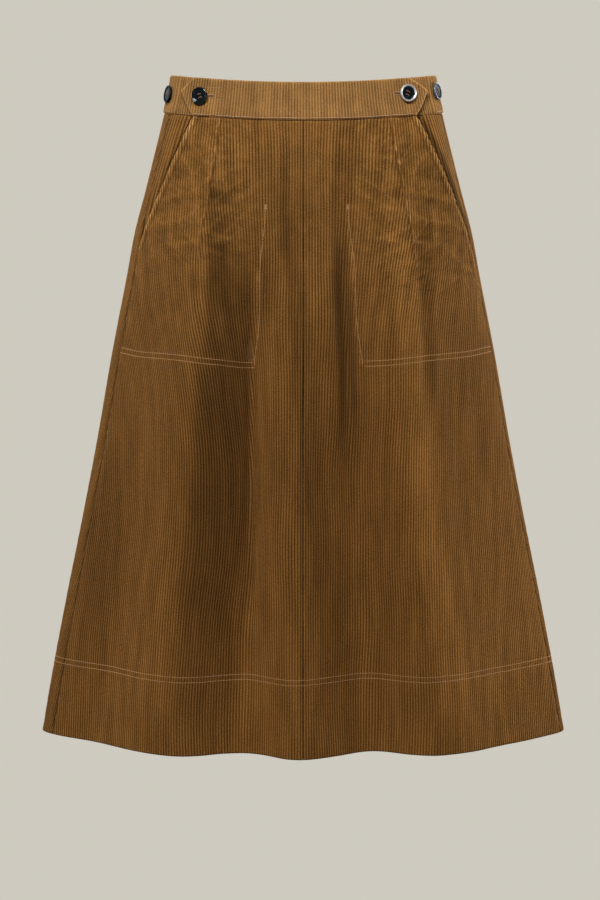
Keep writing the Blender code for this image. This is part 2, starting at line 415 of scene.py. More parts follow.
class Finish:
    """A material with one Principled shader."""

    def __init__(self, name, constants):
        self.material = bpy.data.materials.new(name)
        self.material.use_nodes = True
        self.tree = self.material.node_tree
        self.shader = self.tree.nodes["Principled BSDF"]
        for socket, value in constants.items():
            self.shader.inputs[socket].default_value = value

    def plug(self, value, socket):
        if isinstance(value, Wire):
            self.tree.links.new(value.socket, socket)
        else:
            socket.default_value = value

    def node(self, kind, settings=None, sockets=None, output=0):
        """Adds a node: its settings first, then the values or wires of its sockets."""
        made = self.tree.nodes.new(kind)
        for name, value in (settings or {}).items():
            setattr(made, name, value)
        for name, value in (sockets or {}).items():
            self.plug(value, made.inputs[name])
        return Wire(self, made.outputs[output])

    def place(self):
        """The point's own place in its object, in metres."""
        return self.node("ShaderNodeTexCoord", output=3)

    def blend(self, share, a, b, blend_type="MIX"):
        """Mixes two colours, which are wires or have three numbers."""
        a, b = (value if isinstance(value, Wire) else (*value, 1) for value in (a, b))
        settings = {"data_type": "RGBA", "blend_type": blend_type}
        return self.node("ShaderNodeMix", settings, {0: share, 6: a, 7: b}, output=2)

    def noise(self, where, scale, detail=2.0):
        return self.node("ShaderNodeTexNoise", None, {"Vector": where, "Scale": scale, "Detail": detail})

    def ramp(self, value, low, high):
        """0 below low, 1 above high."""
        return self.node("ShaderNodeMapRange", None, {"Value": value, "From Min": low, "From Max": high})

    def colour(self, wire):
        self.plug(wire, self.shader.inputs["Base Color"])

    def raise_by(self, height, distance, strength=1.0):
        """Bumps the surface by a height of 0 to 1 over a distance in metres."""
        settings = {"Height": height, "Distance": distance, "Strength": strength}
        self.plug(self.node("ShaderNodeBump", None, settings), self.shader.inputs["Normal"])


# %% [markdown]
# ## Corduroy
# Corduroy's loops are cut and brushed up into wales. The ground between them is dark, and the pile on
# top catches the light. The pile leans, so brushing or wear turns whole patches lighter or darker: that
# is its nap. The wales here are real geometry, so the finish has only to colour them, from groove to
# crown, and to break them up into tufts. It reads the cloth's own UV map, where U counts wales and V
# runs along them.

# %% The corduroy finishes
BARE_COTTON_AND_HIGHLIGHT = (0.56, 0.38, 0.20)  # the bare cotton of a rubbed edge, which also colours the painted highlights
NAP_SCALE, MATTED_SCALE, CRUSH_SCALE = 9.0, 24.0, 85.0  # marks to the metre, roughly
LOW, HIGH = -0.36, -0.12  # hands reach the cloth above HIGH and not below LOW
DARKEST = 0.07  # the share of its brightness that cloth keeps under the darkest mark


def corduroy(name, crown, slope, groove):
    """Corduroy in three colours: the wale's crown, its slopes and the ground between wales. Besides the
    cloth's own colours, the crown's holds a painted highlight and the groove's a painted shade.
    """
    finish = Finish(name, {
        "Roughness": 0.92,
        "Specular IOR Level": 0.06,
        "Sheen Weight": 0.5,
        "Sheen Roughness": 0.3,
        "Sheen Tint": (1.0, 0.64, 0.32, 1),
    })
    wales = finish.node("ShaderNodeUVMap", {"uv_map": "wales"})
    across = finish.node("ShaderNodeSeparateXYZ", None, {0: wales})
    along = Wire(finish, across.socket.node.outputs[1])
    place = finish.place()
    worn = finish.node("ShaderNodeAttribute", {"attribute_name": "worn"}, output=2)

    # Tufts are short along a wale, and streaks of dye are long.
    crest = abs(across.maths("SINE", across * math.pi))
    tufts, streaks = (
        finish.node("ShaderNodeCombineXYZ", None, {0: across * wide, 1: along * long})
        for wide, long in ((2.3, 0.62), (0.31, 0.012))
    )
    pile = finish.noise(tufts, 1.0, 3.0)
    streak = finish.noise(streaks, 1.0)
    nap = finish.noise(place, NAP_SCALE, 3.0)

    # Marks from hands and sitting are longer down the skirt, and fewer towards the hem.
    long_marks = finish.node("ShaderNodeMapping", None, {"Vector": place, "Scale": (1, 1, 0.55)})
    risen = finish.ramp(finish.node("ShaderNodeSeparateXYZ", None, {0: place}, output=2), LOW, HIGH)
    handled = 0.25 + risen * 0.75
    crush = finish.ramp(finish.noise(long_marks, CRUSH_SCALE, 4.0), 0.38, 0.66) * handled
    matted = finish.ramp(finish.noise(long_marks, MATTED_SCALE, 3.0), 0.4, 0.65) * handled

    height = crest + (pile - 0.5) * 0.8
    # From groove to crown: the groove's colour is partly painted shade and the crown's partly a painted
    # highlight.
    tone = finish.blend(finish.ramp(height + matted * 0.25, 0.0, 0.5), groove, slope)
    tone = finish.blend(finish.ramp(height, 0.6, 1.1), tone, crown)
    tone = finish.blend(crush * 0.3, tone, slope)
    # The brightest marks turn to bare cotton: rubbed wear, and painted highlights.
    tone = finish.blend(finish.ramp(worn, 0.8, 2.2) * 0.6, tone, BARE_COTTON_AND_HIGHLIGHT)
    shade = 0.53 + finish.ramp(nap, 0.3, 0.7) * 0.11 + finish.ramp(streak, 0.3, 0.7) * 0.24
    shade = shade + crush * 0.2 + (pile - 0.5) * 0.4 - matted * 0.05
    # The attribute lightens the cloth in some places and darkens it in others: rubbed and pressed wear, and
    # painted highlights, painted shade and painted shadows.
    shade = shade * worn.maths("MAXIMUM", 1 + worn * 0.57, DARKEST)
    # Lower down, the colour is deeper, with less green and blue.
    green, blue = shade * (0.945 + risen * 0.055), shade * (0.8 + risen * 0.14)
    depth = finish.node("ShaderNodeCombineColor", None, {0: shade, 1: green, 2: blue})
    finish.colour(finish.blend(1.0, tone, depth, "MULTIPLY"))
    finish.raise_by(pile * 0.5 + crush, 0.0007, 0.6)
    return finish.material


def wrong_side(name, light, dark):
    """The plain twill on the cloth's inside."""
    finish = Finish(name, {"Roughness": 0.95, "Specular IOR Level": 0.1})
    place = finish.place()
    twill = finish.node(
        "ShaderNodeTexWave",
        {"wave_type": "BANDS", "bands_direction": "DIAGONAL"},
        {"Vector": place, "Scale": 260.0, "Distortion": 1.5, "Detail": 1.0},
        output=1,
    )
    patch = finish.noise(place, NAP_SCALE)
    finish.colour(finish.blend(twill * 0.6 + patch * 0.4, dark, light))
    finish.raise_by(twill, 0.0002, 0.4)
    return finish.material


PANEL_CLOTH = corduroy(
    "corduroy", crown=(0.48, 0.265, 0.093), slope=(0.25, 0.099, 0.018), groove=(0.105, 0.039, 0.0075)
)
# The waistband is the same corduroy as the panels; its lighter colours are painted light falling from above.
TOP_LIT_BAND_CLOTH = corduroy(
    "waistband", crown=(0.65, 0.365, 0.155), slope=(0.41, 0.198, 0.058), groove=(0.155, 0.071, 0.02)
)
WRONG_SIDE = wrong_side("wrong_side", (0.19, 0.095, 0.036), (0.12, 0.056, 0.02))

# %% [markdown]
# ## Cutting a piece, one wale at a time
# Wales are straight on the flat cloth, so each piece is laid out in the cloth's own measure: how far a
# point is from the grain line. A flat grid with four columns to a wale becomes the outer face, and an
# extruded copy of it becomes the plain inside. Columns that run past a seam are gathered into it, where
# remove_doubles merges them, so wales end at a seam as they do where cloth is cut on the slant.

# %% A woven wall
WALE = 3.1  # from one wale to the next
WALE_DEPTH = 0.9
STEP = WALE / 4  # between columns
THINNEST = 0.25  # between the two faces, at a seam


def wale_height(flat):
    """0 in a groove and 1 on a crown, for a distance along the flat cloth."""
    return np.abs(np.sin(np.pi * flat / WALE)) ** 0.8


def columns_beside(before, after):
    """Columns on both sides of a grain line at 0, which lies in a groove."""
    return np.arange(-math.ceil(before / WALE) * WALE, after, STEP)


def with_wide_columns(inner):
    """Moves each column of the plain inside onto the first of its wale, so that they merge into one."""
    step = np.linalg.norm(np.diff(inner, axis=1), axis=2) > 0.002 * MM
    always = np.ones((len(inner), 1), bool)
    at_an_end = ~np.hstack([always, step]) | ~np.hstack([step, always])
    first = np.arange(inner.shape[1]) // 4 * 4
    last = np.arange(inner.shape[1]) == inner.shape[1] - 1
    return np.where((at_an_end | last)[..., None], inner, inner[:, first])


def ribbed(near, flat):
    """How far the wales lie below their crowns. Where cloth is gathered into a seam, they are flat."""
    return np.where(near > 0, wale_height(flat) - 1, -0.5) * WALE_DEPTH


def woven_wall(name, turn, height, out, under, flat, worn, cloth):
    """A wall of cloth. Out and under say how far its two faces lie outside the skirt's surface, flat
    where each column is on the flat cloth, and worn how much lighter or darker it looks,
    from wear and from painted highlights, shade and shadows."""
    outer = moved_out(turn, height, out)
    inner = with_wide_columns(moved_out(turn, height, under))
    pattern = np.stack(np.broadcast_arrays(flat / WALE, height), axis=-1)
    rows, columns = outer.shape[0] - 1, outer.shape[1] - 1
    bm = bmesh.new()
    bmesh.ops.create_grid(bm, x_segments=columns, y_segments=rows, size=0.5)
    outside = len(bm.verts)
    grown = bmesh.ops.extrude_face_region(bm, geom=bm.faces[:], use_keep_orig=True)
    for item in grown["geom"]:
        if isinstance(item, bmesh.types.BMFace):
            item.material_index = 1
    mesh = finished_mesh(name, bm)

    square = np.empty(len(mesh.vertices) * 3)
    mesh.vertices.foreach_get("co", square)
    column = np.rint((square[0::3] + 0.5) * columns).astype(int)
    row = np.rint((0.5 - square[1::3]) * rows).astype(int)
    inside = np.arange(len(column)) >= outside
    points = np.where(inside[:, None], inner[row, column], outer[row, column])
    mesh.vertices.foreach_set("co", points.ravel())
    corner = np.empty(len(mesh.loops), dtype=int)
    mesh.loops.foreach_get("vertex_index", corner)
    mesh.uv_layers.new(name="wales").uv.foreach_set("vector", pattern[row, column][corner].ravel())
    mesh.attributes.new("worn", "FLOAT", "POINT").data.foreach_set("value", worn[row, column])

    bm = bmesh.new()
    bm.from_mesh(mesh)
    bmesh.ops.remove_doubles(bm, verts=bm.verts[:], dist=0.002 * MM)
    bmesh.ops.recalc_face_normals(bm, faces=bm.faces[:])
    bm.to_mesh(mesh)
    bm.free()
    mesh.shade_smooth()
    mesh.set_sharp_from_angle(angle=math.radians(87))
    mesh.materials.append(cloth)
    mesh.materials.append(WRONG_SIDE)
    piece = placed(name, mesh)
    print(f"{name}: {sum(len(face.vertices) - 2 for face in mesh.polygons)} triangles")
    return piece


def blank_arrays(levels, flat, count):
    return (np.empty((len(levels), len(flat))) for _ in range(count))


def rounded(distance, radius):
    """How far a rounded edge has fallen, for a distance in from the edge."""
    return radius * (1 - np.sqrt(1 - (1 - np.clip(distance / radius, 0, 1)) ** 2))


def seam_dip(distance, depth=0.9, reach=2.6):
    """How far cloth sinks into a seam that is distance away."""
    return depth * (1 - ease(distance / reach)) ** 1.5


def ripple(flat, height):
    """Crushed cloth: waves of many lengths that cross at slight angles, from about -1 to 1."""
    total = 0
    for i in range(10):
        length, angle = 8 + 2.7 * i, math.radians(90 + 40 * math.sin(2.7 * i + 0.6))
        along = flat * math.cos(angle) + height * math.sin(angle)
        total = total + np.sin(2 * np.pi * along / length + 5.1 * i * i)
    return total / 4


def ridges(flat, height):
    """Thin ridges in crushed cloth, which slant, bend, and start and end by themselves, from 0 to 1."""
    total = 0
    for i in range(7):
        apart, tilt = 15 + 4 * i, math.radians(25 - 62 * math.sin(2.4 * i + 1))
        along = flat * math.cos(tilt) + height * math.sin(tilt)
        beside = height * math.cos(tilt) - flat * math.sin(tilt)
        wave = np.sin(np.pi * (beside / apart + 0.45 * np.sin(along / 21 + 1.9 * i)))
        stretch = ease(1.8 * np.sin(along / 27 + 2.3 * i) * np.sin(beside / 37 + i))
        total = total + (1 - np.abs(wave)) ** 3 * stretch
    return np.minimum(total, 1)


def wander(flat, height):
    """How far a wale strays sideways from its straight line."""
    stray = np.sin(height / 41 + flat / 29) * 0.9 + np.sin(height / 19 - flat / 47 + 2) * 0.45
    return stray * ease(flat / 25)


def panel_height(turn, down):
    return mix(panel_top(turn), HEM, down)


def hemmed(out, height, lift=0.0):
    """A panel's two faces, which are further apart in the turned-up hem and round off at its edge."""
    thickness = WALL * (1 + 0.9 * ease((HEM + TURN_UP - height) / 4 + 0.5))
    bottom = rounded(height - HEM, HEM_ROUND)
    under = lift - thickness + bottom
    return np.maximum(out - bottom, under + THINNEST), under


# %% [markdown]
# Rows run across a piece. They are close where a seam or an edge slants across the wales, because each
# wale's end shows there, and far apart where the wales only run on. A row goes along each line of
# stitches too, which presses the wales flat.

# %% Rows
HEM_STITCHES = (-623.0, -628.6)
POCKET_STITCHES = (-283.5, -289.0)
POCKET_ROWS = np.arange(POCKET_STITCHES[1] - 6.6, -272, 2.2)
BAR_TACK = -122  # the top of the line that runs up a pocket's inner side
HEM_ROUND = 1.7  # radius of the hem's folded edge
TOP_LEVEL = panel_top(LEFT.mouth_top)


def row_levels(top, close_to, close, apart, more=()):
    """Heights of a panel's rows, with rows close together down to close_to."""
    levels = list(np.arange(top, close_to, -close)) + list(np.arange(close_to, HEM + 9, -apart))
    near = [mark + away for mark in HEM_STITCHES for away in (-2.2, 0, 2.2)] + list(more)
    edge = [HEM + away for away in (5, HEM_ROUND, 0.9, 0.3, 0)]
    far_enough = [level for level in levels if min(abs(level - mark) for mark in near + edge) > close * 0.9]
    return np.array(sorted(far_enough + near + edge, reverse=True))


def pressed(height, marks):
    """1 on a line of stitches, 0 away from it."""
    return sum(bump((height - mark) / 2.1) for mark in marks)


# %% [markdown]
# Each row below is a patch of painted shade where its tone is below 0, and of painted light where
# it is above. Places and reaches are shares of the half width.

# %% Painted shade and light
# A patch's middle runs from start to end. It has a reach to each side, a tone, and the heights where
# it begins, is full, starts to fade and ends.
PaintedPatch = namedtuple("PaintedPatch", "start end left right tone begins full fades ends")
SHADE_AND_LIGHT_PATCHES = {
    "front": [
        (0.00, 0.00, 1.60, 1.60, -0.16, -80, -200, -340, -460),
        (0.00, 0.00, 1.60, 1.60, 0.38, -430, -660, -800, -900),
        (-0.555, -0.46, 0.07, 0.10, -0.70, -78, -112, -165, -235),
        (-0.126, -0.108, 0.05, 0.045, -0.50, -45, -75, -140, -215),
        (-0.34, -0.32, 0.20, 0.25, -0.24, -45, -110, -180, -270),
        (0.28, 0.22, 0.10, 0.09, -0.30, -22, -50, -120, -180),
        (-0.43, -0.38, 0.16, 0.22, -0.60, -150, -240, -600, -790),
        (-0.91, -0.84, 0.12, 0.14, -0.40, -350, -440, -590, -660),
        (-0.21, -0.14, 0.05, 0.07, 0.25, -220, -330, -640, -760),
        (-0.10, 0.17, 0.06, 0.06, -0.30, -90, -150, -560, -700),
        (0.205, 0.24, 0.065, 0.065, -0.60, -130, -185, -280, -480),
        (0.22, 0.26, 0.22, 0.22, -0.20, -440, -530, -640, -760),
        (0.54, 0.60, 0.10, 0.10, 0.45, -90, -180, -640, -790),
        (0.51, 0.55, 0.10, 0.10, 0.35, -340, -400, -480, -570),
        (0.74, 0.60, 0.05, 0.06, -0.40, -90, -160, -290, -350),
        (0.80, 0.80, 0.16, 0.30, 0.22, -380, -460, -700, -860),
    ],
    "back": [
        (-0.60, -0.56, 0.30, 0.30, 0.25, -60, -160, -240, -340),
        (0.45, 0.50, 0.20, 0.28, -0.35, -160, -260, -420, -560),
        (-0.24, -0.28, 0.14, 0.18, -0.35, -200, -320, -600, -760),
        (-0.05, 0.00, 0.20, 0.20, 0.25, -330, -460, -600, -720),
        (0.68, 0.72, 0.25, 0.25, 0.20, -480, -570, -680, -800),
    ],
}


def painted_shade_and_light(side, turn, height):
    """How much the painted light lightens the cloth; below 0, how much the painted shade darkens it."""
    across = np.sin(np.radians(turn))
    total = np.zeros_like(across)
    for row in map(PaintedPatch._make, SHADE_AND_LIGHT_PATCHES[side]):
        off = across - mix(row.start, row.end, (row.begins - height) / (row.begins - row.ends))
        sideways = ease(1.5 * (1 - np.abs(off) / np.where(off < 0, row.left, row.right)))
        grown, lasting = passed(height, row.begins, row.full), passed(height, row.ends, row.fades)
        total += row.tone * sideways * grown * lasting
    return total


def pocket_stitch_rise(turn):
    """How much higher the rows under a pocket lie at a turn: up at the side and across the fold."""
    off, left = np.abs(turn), np.asarray(turn) < 0
    over_fold = np.where(left, 4.6, 3.0) * bump((off - 38) / 24)
    inner_end = np.where(left, 3.2, 1.0) * (1 - ease((off - 15) / 12))
    return 9 * ease((off - 25) / 55) + over_fold - inner_end


def pocket_line_turn(side, height):
    """The turn of the line sewn up the pocket's inner side, which isn't quite straight."""
    down = (height - POCKET_STITCHES[0]) / 160
    return abs(side.pocket_inner) + 0.35 * np.sin(height / 17.0) + side.stitch_drift * np.clip(down, 0, 1)


# %% [markdown]
# ## The fronts
# Each front has a dart, a stitched wedge that takes in cloth between waist and hip. Wales run into it
# from both sides and end there, so the same gathering that ends them at a seam makes the dart. The
# slanted edge of the pocket mouth is folded back, so it is rounded, and each wale that crosses it leaves
# a small bulge.

# %% Front panels
DART_SPREAD = 75.0  # the wales lean towards the dart over this much cloth
MOUTH_ROUND = 2.6  # radius of the pocket mouth's folded edge
MOUTH_FREES = 6  # the mouth's edge comes free over this height
CRUSH_LOW, CRUSH_HIGH = -340, -100  # heights between which the cloth is more and more crushed
CRUSH_NEAR, CRUSH_FAR = 35, 75  # the same, outward from the centre seam


def darted(side, level, flat, turns, lengths):
    """How far round each column lies, and which columns the dart has taken in."""
    up = np.clip((level - side.dart_point) / (TOP_LEVEL - side.dart_point), 0, 1)
    dart = np.interp(abs(mix(side.dart_end, side.dart_top, up)), np.abs(turns), lengths)
    flat = flat + wander(flat, level) * ease((abs(flat - dart) - 2) / 12)
    inner = flat + side.take_in * up * (flat / DART_SPREAD) ** 2
    outer = flat - side.take_out * up
    taken = (inner >= dart) & (outer <= dart)
    return np.where(inner < dart, inner, np.maximum(outer, dart)), taken, dart, up


def mouth_free(side, level):
    """1 where the mouth's edge is free, 0 where the front is sewn to the back instead."""
    return passed(level, side.mouth_bottom, side.mouth_bottom + MOUTH_FREES)


def mouth_lift(side, level):
    """How far the mouth's edge stands off: not at all at its ends, most above its middle."""
    down = np.clip((waist_seam(0) - level) / (waist_seam(0) - side.mouth_bottom), 0, 1)
    return (MOUTH_LIFT + side.gape) * np.sin(np.pi * down**0.6) ** 1.4


def front(side):
    levels = row_levels(panel_top(side.mouth_top), side.mouth_bottom - 8, 1.5, 11.5, POCKET_ROWS)
    reach = cloth_length(0, side.seam, HEM)
    flat = np.arange(0, reach + 6, STEP)
    turn, near, dart_off, taken, across, inner_off, middle = blank_arrays(levels, flat, 7)
    down = ((levels[0] - levels) / (levels[0] - HEM))[:, None]
    for i, level in enumerate(levels):
        turns, lengths = arc_table(0, mouth_turn(side, level), level)
        place, inside_dart, dart, up = darted(side, level, flat, turns, lengths)
        free = mouth_free(side, level)
        far = lengths[-1] - mix(GAP / 2, 0.8, free)
        # Each wale that crosses the mouth's edge pushes it out a little.
        rib_end = wale_height(np.interp(far, place, flat)) - 0.5
        far += free * (0.6 + 0.2 * side.gape) * rib_end
        kept = np.clip(place, GAP / 2, far)
        turn[i] = np.interp(kept, lengths, turns)
        near[i] = np.where(inside_dart & (up > 0) | (kept != place), 0, 1)
        dart_off[i] = np.where(up > 0, (kept - dart) / (0.15 + up), 99)
        across[i] = kept / lengths[-1]
        taken[i] = far - kept
        middle[i] = kept
        inner_off[i] = kept - np.interp(pocket_line_turn(side, level), np.abs(turns), lengths)
    height = panel_height(turn, down)
    free = mouth_free(side, levels)[:, None]
    lift = ease((across - 0.8) / 0.2) * mouth_lift(side, levels)[:, None]
    below = height - pocket_stitch_rise(turn)
    line = pressed(height, HEM_STITCHES) + pressed(below, POCKET_STITCHES) * (inner_off > -1)
    sewn = (ease((BAR_TACK + 8 - levels) / 6) * ease((levels - POCKET_STITCHES[1]) / 4))[:, None]
    darting = dart_off < 50

    # The outer face: wales and crushed cloth, then seams and edges, the dart, and the pocket's stitches.
    crushed = passed(height, CRUSH_LOW, CRUSH_HIGH) * mix(0.3, 1, passed(middle, CRUSH_NEAR, CRUSH_FAR))
    crumple = ripple(flat, height) * crushed
    ridged = ridges(flat, height) * crushed
    ribs = ribbed(near, flat) * (1 - 0.55 * line)
    out = lift + ribs * (1 - 0.3 * crushed) - 0.35 * line + 0.5 * crumple + 1.1 * ridged
    out -= seam_dip(middle) + (1 - free) * seam_dip(taken) + free * rounded(taken, MOUTH_ROUND) * 0.7
    out += free * 1.0 * (1 - ease(taken / 8))
    out += darting * (1.0 * bump(dart_off / 10) - seam_dip(np.abs(dart_off), 0.5, 2.0))
    out += darting * 0.5 * bump(dart_off / 16) * ripple(flat * 0.6 + 40, height * 1.7)
    puckers = 0.6 + 0.4 * np.sin(height / 3.1 + 2 * np.sin(height / 11))
    out += sewn * puckers * (0.5 * bump((np.abs(inner_off) - 4) / 4) - 0.5 * bump(inner_off / 3))
    out -= seam_dip(levels[0] - levels, 0.6, 2.0)[:, None]
    out, under = hemmed(out, height, lift)

    # Lighter where the mouth's edge is rubbed, at the hem's fold and where stitches press the pile: that is
    # wear. The rest is painted light: highlights on the mouth's edge, the crushed ripples and ridges, the
    # puckers and the dart, and painted shade in the seams, inside the mouth's edge and beside the dart.
    rubbed = free * side.rubbed
    edge_width = 3.5 + 4.5 * side.rubbed
    worn = rubbed * (2.0 * wale_height(flat) ** 2 - 0.1) * ease(1.5 * (1 - taken / edge_width))
    # Painted shade just inside the mouth's lit edge.
    worn -= 0.5 * free * bump((taken - edge_width) / 3)
    # Wear at the hem and on stitch lines; painted highlight and shade on the crushed ripples and ridges.
    worn = worn + 0.5 * bump((height - HEM) / 3) + 0.25 * line + 0.18 * crumple + 0.38 * ridged
    # Painted highlight on the puckers beside the pocket's inner line.
    worn += sewn * puckers * (0.7 * bump((inner_off + side.sign * 1.5) / 3))
    # A painted highlight along the dart, with painted shade beside it.
    up = np.clip((height - side.dart_point) / (TOP_LEVEL - side.dart_point), 0, 1)
    stray = dart_off * (0.15 + up) - 1.6 - 0.9 * np.sin(height / 8.3)
    worn += darting * ease(up / 0.12) * (0.9 * puckers * bump(stray / 1.9) - 0.4 * bump((stray + 2.9) / 2))
    # The patches of painted shade and light.
    worn += painted_shade_and_light("front", turn, height)
    # Painted shade in the centre seam and where the mouth is sewn down.
    broken = 1.0 + 0.3 * np.sin(height / 13 + 2 * np.sin(height / 31))
    worn -= broken * bump(middle / 1.5) + 1.0 * (1 - free) * bump(taken / 1.3)
    return woven_wall(f"cloth_front_{side.name}", turn, height, out, under, flat, worn, PANEL_CLOTH)


for side in SIDES:
    piece = front(side)
    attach(piece, "root")
    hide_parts(f"front_{side.name}")

# %% What lies behind an edge


def covered(turns_past):
    """1 under an edge and close to it, 0 well past it."""
    return 1 - ease((turns_past - CLEAR_TURNS) / RISE_TURNS)


def depth_behind(turn, edge):
    """How far a piece lies behind the skirt's face: under an edge, and then out past it."""
    return (WALL + SLACK) * covered(np.abs(turn) - np.abs(edge))


def back_band_lift(turn):
    """How far the back waistband stands out from the panels: less under the tabs."""
    right_side = turn < 180
    round_to = np.abs(np.where(right_side, turn, turn - 360))
    point = np.where(right_side, RIGHT.tab_point, -LEFT.tab_point)
    return BAND_PROUD - (BAND_WALL + SLACK) * covered(round_to - point)


# %% [markdown]
# ## The back
# The back is one piece. Its grain line is the centre, so the wales run straight down there and end one
# after another at the slanted side seams, where they meet those of the front at an angle.

# %% Back panel
TUCKED = (3.4, 0.8)  # rows that stand up behind the waistband


def back():
    top = panel_top(RIGHT.seam)
    levels = np.concatenate([top + TUCKED, row_levels(top, -26, 2.0, 15.0)])
    reach, left_reach = (cloth_length(180, seam, HEM) for seam in (RIGHT.seam, LEFT.seam + 360))
    flat = columns_beside(reach + 6, left_reach + 6)
    turn, edge, near = blank_arrays(levels, flat, 3)
    down = ((top - levels) / (top - HEM))[:, None]
    for i, level in enumerate(levels):
        turns, lengths = arc_table(RIGHT.seam, LEFT.seam + 360, level, 600)
        stray = wander(abs(flat), level) * np.sign(flat)
        place = np.interp(180, turns, lengths) + flat + stray
        kept = np.clip(place, GAP / 2, lengths[-1] - GAP / 2)
        turn[i] = np.interp(kept, lengths, turns)
        edge[i] = np.minimum(kept, lengths[-1] - kept)
        near[i] = kept == place
    height = panel_height(turn, down)
    line = pressed(height, HEM_STITCHES)
    ribs = ribbed(near, flat) * (1 - 0.55 * line)
    out = ribs - 0.35 * line - seam_dip(edge) - seam_dip(np.maximum(top - levels, 0), 0.6, 2.0)[:, None]
    out, under = hemmed(out, height)
    tucked = (levels > top + 0.1)[:, None]
    out = np.where(tucked, back_band_lift(turn) - BAND_WALL - 0.4, out)
    under = np.where(tucked, out - 1.2, under)
    # Lighter at the hem and on the hem's stitches, which is wear; painted shade in the side seams, and the
    # patches of painted shade and light.
    worn = 0.5 * bump((height - HEM) / 3) + 0.25 * line - bump(edge / 1.3) + painted_shade_and_light("back", turn, height)
    return woven_wall("cloth_back", turn, height, out, under, flat, worn, PANEL_CLOTH)


piece = back()
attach(piece, "root")
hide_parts("back")

# %% [markdown]
# ## The pocket pieces
# Behind each slanted mouth lies one piece that is both the hip and the inner side of the pocket. It is
# cut so that its wales slant outward. Only the hip shows, so the wales are modelled there, and the bag
# behind the front has wide plain columns.

# %% Pocket pieces
SLANT = 0.40  # how far the wales go outward for each millimetre down
HIP_STRETCH = 1.3  # the hip is drawn tight, so its wales lie wider apart
BAG_STEP = 2.1 * WALE  # between the bag's columns
BAG_TOP = -214  # below this height there is only bag


def pocket(side):
    top = panel_top(side.mouth_top)
    hip_levels = np.arange(top, side.mouth_bottom - 6, -3.0)
    levels = np.concatenate([hip_levels, np.linspace(BAG_TOP, POCKET_BOTTOM, 7)])
    shown = cloth_length(0, side.mouth_top, top) - 14
    hidden = cloth_length(0, side.pocket_inner, top) - SLANT * (top - POCKET_BOTTOM)
    wide = cloth_length(0, side.seam, top) + 10
    bag, hip = np.arange(hidden, shown, BAG_STEP), np.arange(shown, wide, STEP * HIP_STRETCH)
    flat = np.concatenate([bag, hip])
    turn, near, edge, behind, past, room = blank_arrays(levels, flat, 6)
    down = ((levels[0] - levels) / (levels[0] - POCKET_BOTTOM))[:, None]
    for i, level in enumerate(levels):
        turns, lengths = arc_table(0, side.seam + 2 * side.sign, level)
        mouth_at = mouth_turn(side, level)
        inner, seam, mouth = (
            np.interp(abs(place), np.abs(turns), lengths)
            for place in (side.pocket_inner, side.seam, mouth_at)
        )
        # Where the piece still lies deep at the side seam, it runs on a little under the back.
        last = seam + (2.6 if depth_behind(side.seam, mouth_at) > 2.5 else -GAP / 2)
        place = flat + SLANT * (top - level)
        kept = np.clip(place, inner + GAP / 2, last)
        turn[i] = np.interp(kept, lengths, turns)
        near[i] = kept == place
        edge[i] = np.abs(seam - kept)
        # Seen from the front, the edge that stands off hides the first of what lies past it.
        hidden_past = mouth_lift(side, level) * math.tan(math.radians(min(abs(mouth_at), 72)))
        past[i] = kept - mouth - hidden_past
        room[i] = seam - mouth
        behind[i] = depth_behind(turn[i], mouth_at)
    height = mix(panel_top(turn), POCKET_BOTTOM, down)
    plain = flat < shown
    wales = flat / HIP_STRETCH
    ribs = np.where(plain, -0.4 * WALE_DEPTH, ribbed(near, wales))
    out = ribs - behind - seam_dip(edge) - seam_dip(levels[0] - levels, 0.6, 2.0)[:, None]
    under = -behind - WALL
    out = np.maximum(out, under + THINNEST)
    # Painted shadow under the mouth's standing edge, and painted shade in the side seam.
    shadow = (1.2 - 0.05 * side.gape) * (1 - ease((past - 1.1 * side.gape) / (2.5 + 0.6 * side.gape)))
    worn = -0.6 * bump(edge / 1.3) - shadow * ease((room - 3) / 14) + 0.05
    return woven_wall(f"cloth_pocket_{side.name}", turn, height, out, under, wales, worn, PANEL_CLOTH)


for side in SIDES:
    piece = pocket(side)
    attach(piece, "root")
    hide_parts(f"pocket_{side.name}")

# %% [markdown]
# ## The waistband
# The band is folded along its top and sewn down along its bottom, so both edges are rounded. Its wales
# run up and down. The seam allowance inside makes it swell a little above the waist seam. The front band
# ends in a point at each side, and these tabs lie over the back band.

# %% Waistbands
BAND_ROUND = 1.5  # radius of its folded edges
BAND_STEPS = np.array([0, 0.3, 0.9, 1.6, 2.4, *np.arange(4.0, 38.0, 1.6), 38.6, 39.4, 40.1, 40.7, 41.0])
BAND_STEPS = (BAND_STEPS / BAND_HEIGHT)[::-1]


def tab_edge(side, up):
    """The turn of a tab's pointed end at a share of the waistband's height."""
    low = mix(side.tab_bottom, side.tab_point, up / TAB_POINT_SHARE)
    high = mix(side.tab_point, side.tab_top, (up - TAB_POINT_SHARE) / (1 - TAB_POINT_SHARE))
    return np.where(up < TAB_POINT_SHARE, low, high)


def band_height(turn, up):
    return mix(waist_seam(turn) + GAP / 2, band_top(turn), up)


def swell(up):
    """The band's own roundness from its bottom to its top."""
    return 0.9 * np.exp(-(((up - 0.15) / 0.17) ** 2)) + 0.3 * np.exp(-(((up - 0.9) / 0.1) ** 2))


